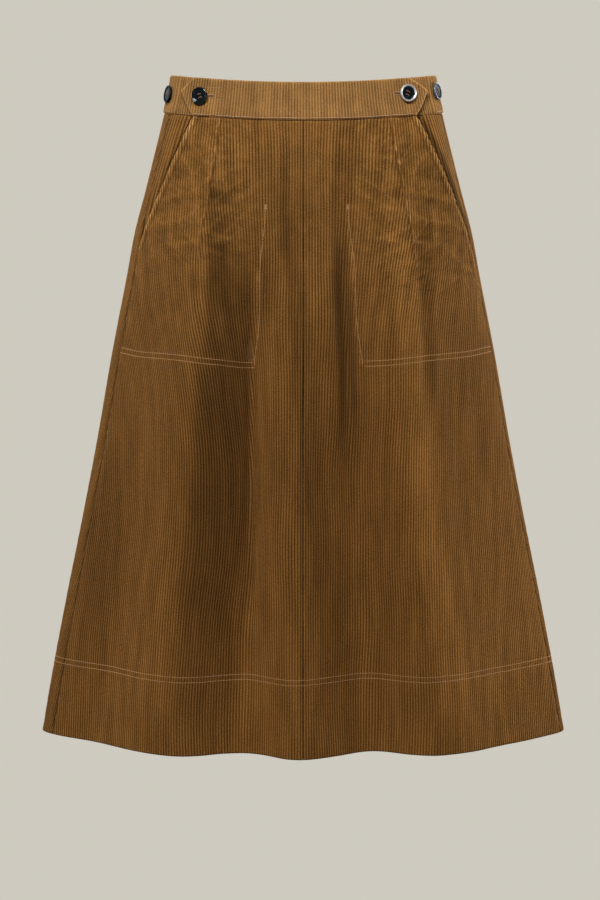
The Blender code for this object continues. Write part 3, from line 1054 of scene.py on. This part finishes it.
def band_wall(name, turn, near, flat, edge, lift, tab_highlight_and_shadow):
    """A stretch of waistband, from the turn of each of its points."""
    up = BAND_STEPS[:, None]
    height = band_height(turn, up)
    above, below = up * BAND_HEIGHT, (1 - up) * BAND_HEIGHT
    edges = rounded(above, BAND_ROUND) + rounded(below, BAND_ROUND) + rounded(edge, BAND_ROUND)
    flatter = 1 - 0.5 * bump(above / 3) - 0.3 * bump(below / 3)
    ribs = ribbed(near, flat) * 0.8 * flatter
    middle = lift - BAND_WALL / 2
    out = lift + ribs - edges * 0.85 + swell(up)
    under = lift - BAND_WALL + edges * 0.5
    out = np.maximum(out, middle + 0.1)
    under = np.minimum(under, middle - 0.1)
    # Lighter along the folded top and bottom, which is wear, and the tabs' painted highlight and shadow.
    worn = 0.5 * bump(below / 2.5) + 0.4 * bump(above / 2.0) + tab_highlight_and_shadow + 0 * turn
    return woven_wall(name, turn, height, out, under, flat, worn, TOP_LIT_BAND_CLOTH)


def waistband_front():
    turns, lengths = arc_table(LEFT.tab_point, RIGHT.tab_point, 0.0, 600)
    centre = np.interp(0, turns, lengths)
    flat = columns_beside(centre + 2, lengths[-1] - centre + 2)
    turn, near, edge = blank_arrays(BAND_STEPS, flat, 3)
    for i, up in enumerate(BAND_STEPS):
        first, last = (np.interp(tab_edge(side, up), turns, lengths) for side in SIDES)
        place = centre + flat
        kept = np.clip(place, first, last)
        turn[i] = np.interp(kept, lengths, turns)
        near[i] = kept == place
        edge[i] = np.minimum(kept - first, last - kept) * 0.9
    lift = BAND_PROUD + 0 * turn
    for side in SIDES:
        past = (turn * side.sign - abs(side.tab_top) + 3) / 10
        lift += side.tab_lift * ease(past)
    # A painted highlight along the edges of the tab ends.
    return band_wall("cloth_waistband_front", turn, near, flat, edge, lift, 1.2 * bump(edge / 3.2))


def waistband_back():
    turns, lengths = arc_table(RIGHT.band_end, LEFT.band_end + 360, 0.0, 900)
    centre = np.interp(180, turns, lengths)
    flat = columns_beside(centre + 2, lengths[-1] - centre + 2)
    place = centre + flat
    kept = np.clip(place, 0, lengths[-1])
    turn = np.broadcast_to(np.interp(kept, lengths, turns), (len(BAND_STEPS), len(flat)))
    near = np.broadcast_to(kept == place, turn.shape)
    edge = np.broadcast_to(np.minimum(kept, lengths[-1] - kept), turn.shape)
    up = BAND_STEPS[:, None]
    right_side = turn < 180
    # Painted shadow beside each tab's edge: strong under the right tab, faint beside the left.
    from_tab = np.where(right_side, turn - tab_edge(RIGHT, up), tab_edge(LEFT, up) + 360 - turn)
    under = ease((TAB_POINT_SHARE + 0.1 - up) / 0.2)
    dark = np.where(right_side, 1.2 + 0.5 * under, 0.3)
    shadow = -dark * (1 - ease(from_tab / (2.6 + 2.4 * under)))
    return band_wall("cloth_waistband_back", turn, near, flat, edge, back_band_lift(turn), shadow)


for make, node_name, flat_size in (
    (waistband_front, "waistband_front", (0.284, 0.041)),
    (waistband_back, "waistband_back", (0.548, 0.041)),
):
    piece = make()
    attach(piece, "root")
    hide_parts(node_name)

# %% [markdown]
# ## Buttons
# A button is turned on a lathe: half of its section is drawn once and spun round its axis. Four holes
# are drilled through it, and thread crosses between them.

# %% Buttons
BUTTON_WIDTH = 19
BUTTON_DEPTH = 3.6
HOLE_RADIUS = 1.0
HOLE_PLACE = 1.9  # from the button's axis along each side of a square
Button = namedtuple("Button", "name turn height slot")
BUTTONS = [
    Button("button_front_left", -48.2, -2, "button"),
    Button("button_front_right", 49, 1, "button_metal"),
    Button("button_side_left", -77, 0, "button"),
    Button("button_side_right", 75.5, 3, "button_metal"),
]
# share of the radius, share of the depth
BUTTON_PROFILE = [
    (0, 0.02), (0.70, 0.0), (0.86, 0.12), (0.95, 0.30), (0.99, 0.48), (1.0, 0.62), (0.99, 0.78),
    (0.96, 0.91), (0.92, 0.98), (0.88, 1.0), (0.83, 0.97), (0.79, 0.88), (0.76, 0.78), (0.72, 0.70),
    (0.62, 0.64), (0.45, 0.59), (0.25, 0.57), (0, 0.56),
]
RIM_SHARE = 0.77  # the bright rim begins at this share of the radius


def horn(name, constants):
    finish = Finish(name, constants)
    cloud = finish.noise(finish.place(), 160.0, 3.0)
    finish.colour(finish.blend(finish.ramp(cloud, 0.4, 0.75), (0.004, 0.005, 0.007), (0.012, 0.03, 0.032)))
    return finish.material


def metal(name, dark, light):
    finish = Finish(name, {"Roughness": 0.42, "Metallic": 0.55})
    finish.colour(finish.blend(finish.noise(finish.place(), 900.0), dark, light))
    return finish.material


FACES = {
    "front": horn("dark_horn", {"Roughness": 0.12, "Coat Weight": 0.6, "Coat Roughness": 0.05}),
    "side": horn("dull_horn", {"Roughness": 0.5, "Specular IOR Level": 0.12}),
}
RIMS = {
    "button_front_right": metal("bright_rim", (0.62, 0.63, 0.64), (0.9, 0.9, 0.9)),
    # The side button's rim is a darker, bluish copy of the front button's metal rim: painted shade.
    "button_side_right": metal("blue_rim", (0.10, 0.12, 0.15), (0.22, 0.25, 0.29)),
}
HOLES = [(x * HOLE_PLACE, y * HOLE_PLACE) for x in (-1, 1) for y in (-1, 1)]


def stand(row):
    """The matrix that stands a button on the waistband."""
    up = Vector(outward(row.turn, row.height))
    aim = Vector((0, 0, 1)).rotation_difference(up).to_matrix().to_4x4()
    return Matrix.Translation(Vector(moved_out(row.turn, row.height, BAND_PROUD + GAP))) @ aim


def drill():
    """Four pins as one object, to cut a button's holes."""
    bm = bmesh.new()
    for x, y in HOLES:
        bmesh.ops.create_cone(
            bm, cap_ends=True, segments=14, radius1=HOLE_RADIUS * MM, radius2=HOLE_RADIUS * MM,
            depth=12 * MM, matrix=Matrix.Translation(Vector((x, y, 0)) * MM),
        )
    return placed("drill", finished_mesh("drill", bm))


def button(row, pins):
    bm = bmesh.new()
    radius = BUTTON_WIDTH / 2
    verts = [bm.verts.new(Vector((x * radius, 0, z * BUTTON_DEPTH)) * MM) for x, z in BUTTON_PROFILE]
    edges = [bm.edges.new(pair) for pair in zip(verts, verts[1:])]
    bmesh.ops.spin(
        bm, geom=verts + edges, cent=(0, 0, 0), axis=(0, 0, 1), angle=2 * math.pi, steps=48, use_merge=True
    )
    bmesh.ops.remove_doubles(bm, verts=bm.verts[:], dist=0.01 * MM)
    bmesh.ops.recalc_face_normals(bm, faces=bm.faces[:])
    for face in bm.faces:
        middle = face.calc_center_median() / MM
        face.material_index = 1 if middle.xy.length > RIM_SHARE * radius and middle.z > 1.0 else 0
    mesh = finished_mesh(row.name, bm)
    face_finish = FACES[row.name.split("_")[1]]
    mesh.materials.append(face_finish)
    mesh.materials.append(RIMS.get(row.name, face_finish))
    blank = placed(row.name, mesh)
    cut = blank.modifiers.new("holes", "BOOLEAN")
    cut.operation, cut.solver, cut.object = "DIFFERENCE", "EXACT", pins
    drilled = as_mesh(blank)
    drilled.transform(stand(row))
    drilled.shade_smooth()
    drilled.set_sharp_from_angle(angle=math.radians(50))
    piece = placed(f"turned_{row.name}", drilled)
    print(f"{piece.name}: {len(drilled.polygons)} faces")
    return piece


pins = drill()
for row in BUTTONS:
    piece = button(row, pins)
    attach(piece, "root")
    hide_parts(row.name)
bpy.data.objects.remove(pins)

# %% [markdown]
# ## Topstitching
# A line of stitches is a row of short lengths of thread that dip into the cloth at both ends. Each is a
# short spline with a round bevel. One curve object holds a whole line, and it is then made a mesh.

# %% Stitches
THREAD = 0.62  # thickness
STITCH = 3.0
PITCH = 3.4  # from one stitch to the next


def thread_finish(name, dark, light):
    finish = Finish(name, {"Roughness": 0.7, "Specular IOR Level": 0.15})
    finish.colour(finish.blend(finish.noise(finish.place(), 1500.0, 1.0), dark, light))
    return finish.material


THREAD_TAN = thread_finish("thread", (0.42, 0.22, 0.09), (0.68, 0.42, 0.22))
THREAD_PALE = thread_finish("waist_thread", (0.48, 0.28, 0.14), (0.70, 0.45, 0.26))
THREAD_ROSE = thread_finish("button_thread", (0.28, 0.13, 0.10), (0.44, 0.24, 0.19))
# A near-black cord that stands for the shade inside a buttonhole's slit: painted shade.
PAINTED_SLIT_SHADE = thread_finish("buttonhole_slit", (0.008, 0.005, 0.003), (0.014, 0.008, 0.005))


def stitches(turn, height, out):
    """Splits a line on the skirt into stitches. Each is four points."""
    spots = moved_out(turn, height, out)
    lengths = lengths_along(spots) / MM
    starts = np.arange(0.2, lengths[-1] - STITCH, PITCH)[:, None]
    at = starts + np.array([0, 0.28, 0.72, 1]) * STITCH
    sunk = np.array([-0.75, 0.0, 0.0, -0.75])
    where = [np.interp(at, lengths, values) for values in np.broadcast_arrays(turn, height, out)]
    return list(moved_out(where[0], where[1], where[2] + sunk))


def sew(name, rows, thickness=THREAD, finish=THREAD_TAN):
    """One mesh of thread from all the stitches in rows."""
    curve = bpy.data.curves.new(name, "CURVE")
    curve.dimensions = "3D"
    curve.bevel_depth = thickness / 2 * MM
    curve.bevel_resolution = 1
    curve.use_fill_caps = True
    for row in rows:
        for stitch in row:
            spline = curve.splines.new("POLY")
            spline.points.add(len(stitch) - 1)
            spline.points.foreach_set("co", np.c_[stitch, np.ones(len(stitch))].ravel())
    mesh = as_mesh(placed(name, curve))
    mesh.shade_smooth()
    mesh.materials.append(finish)
    piece = placed(name, mesh)
    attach(piece, "root")
    print(f"{name}: {sum(len(row) for row in rows)} stitches, {len(mesh.polygons)} faces")
    return piece


def level_line(first, last, height, out=0.05):
    """Stitches along the cloth at one height, from one turn to another."""
    return stitches(np.linspace(first, last, 400), height, out)


sew("stitches_hem", [level_line(-180, 180, height) for height in HEM_STITCHES])


def band_line(first, last, up, out):
    turn = np.linspace(first, last, 400)
    return stitches(turn, band_height(turn, up), out)


sew("stitches_waistband", [
    band_line(LEFT.tab_bottom + 0.8, RIGHT.tab_bottom - 0.8, 0.05, BAND_PROUD + 1.05),
    band_line(RIGHT.tab_point + CLEAR_TURNS + RISE_TURNS, LEFT.tab_point + 353, 0.05, BAND_PROUD + 0.9),
], thickness=0.85, finish=THREAD_PALE)

# %% [markdown]
# A buttonhole is a slit with satin stitches packed along both of its lips. The button slides to the
# outer end of its hole, so the slit shows on the inner side, as a near-black cord of painted shade.
# A short box of stitches holds each tab's layers together beside the button.

# %% Buttonholes and tabs
HOLE_PITCH = 0.62  # between satin stitches


def turned_by(turn, height, along):
    """The turn that is along millimetres further round the waistband."""
    step = np.linalg.norm(on_skirt(turn + 0.5, height) - on_skirt(turn - 0.5, height))
    return turn + along / step


def hole_and_box(row, inward, box):
    """Satin stitches, the dark cord of painted shade in the slit, and the box beside a button. Inward is 1
    or -1, towards the centre.
    """
    def inward_by(spot):
        return turned_by(row.turn, row.height, inward * spot)

    out = BAND_PROUD + 0.1
    turn = inward_by(np.arange(-2.0, 14.6, HOLE_PITCH))[:, None]
    satin = []
    for lip in (-1, 1):
        height = row.height + lip * np.array([0.3, 0.7, 1.5, 1.9])
        satin += list(moved_out(turn, height, out + np.array([-0.4, 0.12, 0.12, -0.5])))
    for end in (-2.4, 15.0):
        height = row.height + np.linspace(-1.9, 1.9, 4)
        satin.append(moved_out(inward_by(end), height, out + np.array([-0.3, 0.15, 0.15, -0.3])))
    shaded_slit = moved_out(inward_by(np.linspace(-1.6, 14.4, 8)), row.height, out + 0.15)
    corners = np.array(box)
    share = np.linspace(0, len(corners) - 1, 60)
    away, up = (np.interp(share, range(len(corners)), corners[:, i]) for i in (0, 1))
    lines = stitches(inward_by(away), row.height + up, out - 0.1)
    return satin, shaded_slit, lines


front_left, front_right = BUTTONS[:2]
# The corners of each box, in millimetres inward from its button and up from the button's height.
LEFT_BOX = [(11, -4), (22, -4), (22, 9), (3, 9)]
RIGHT_BOX = [(8, 9), (8, 15)]
left_work = hole_and_box(front_left, 1, LEFT_BOX)
right_work = hole_and_box(front_right, -1, RIGHT_BOX)
sew("buttonhole_satin", [left_work[0], right_work[0]], thickness=0.45)
sew("buttonhole_slits", [[left_work[1], right_work[1]]], thickness=1.1, finish=PAINTED_SLIT_SHADE)
sew("stitches_tabs", [left_work[2], right_work[2]], thickness=0.5)

# %% [markdown]
# Each button is sewn on with two bars of thread, three strands to a bar, from hole to hole.

# %% Button threads


def sewn_on(row):
    strands = []
    for y in (-HOLE_PLACE, HOLE_PLACE):
        for side_step in (-0.38, 0, 0.38):
            path = [(-HOLE_PLACE, 0.6), (-HOLE_PLACE, 2.1), (0, 2.55), (HOLE_PLACE, 2.1), (HOLE_PLACE, 0.6)]
            points = [stand(row) @ (Vector((x, y + side_step, z)) * MM) for x, z in path]
            strands.append(np.array(points))
    return strands


sew("stitches_buttons", [sewn_on(row) for row in BUTTONS], thickness=0.38, finish=THREAD_ROSE)

# %% [markdown]
# The pocket bags are held by lines sewn through the fronts: two rows along the bottom, and one up the
# inner side that starts at a bar tack, a few tight stitches across the end of the line.

# %% Pocket stitching


def pocket_lines(side):
    """The rows that hold a pocket bag."""
    rows = []
    inner = side.sign * pocket_line_turn(side, POCKET_STITCHES[0])
    for height in POCKET_STITCHES:
        turn = np.linspace(mouth_turn(side, height) - side.sign * 0.6, inner, 200)
        rows.append(stitches(turn, height + pocket_stitch_rise(turn), 0.0))
    height = np.linspace(BAR_TACK, POCKET_STITCHES[1] + float(pocket_stitch_rise(inner)), 160)
    rows.append(stitches(side.sign * pocket_line_turn(side, height), height, 0.1))
    top = side.sign * pocket_line_turn(side, BAR_TACK)
    across = turned_by(top, BAR_TACK, np.array([-2.4, -1.0, 1.0, 2.4]))
    rows.append([moved_out(across, BAR_TACK + 0.75 * i, np.array([-0.5, 0.2, 0.2, -0.5])) for i in range(7)])
    return rows


for side in SIDES:
    sew(f"stitches_pocket_{side.name}", pocket_lines(side))
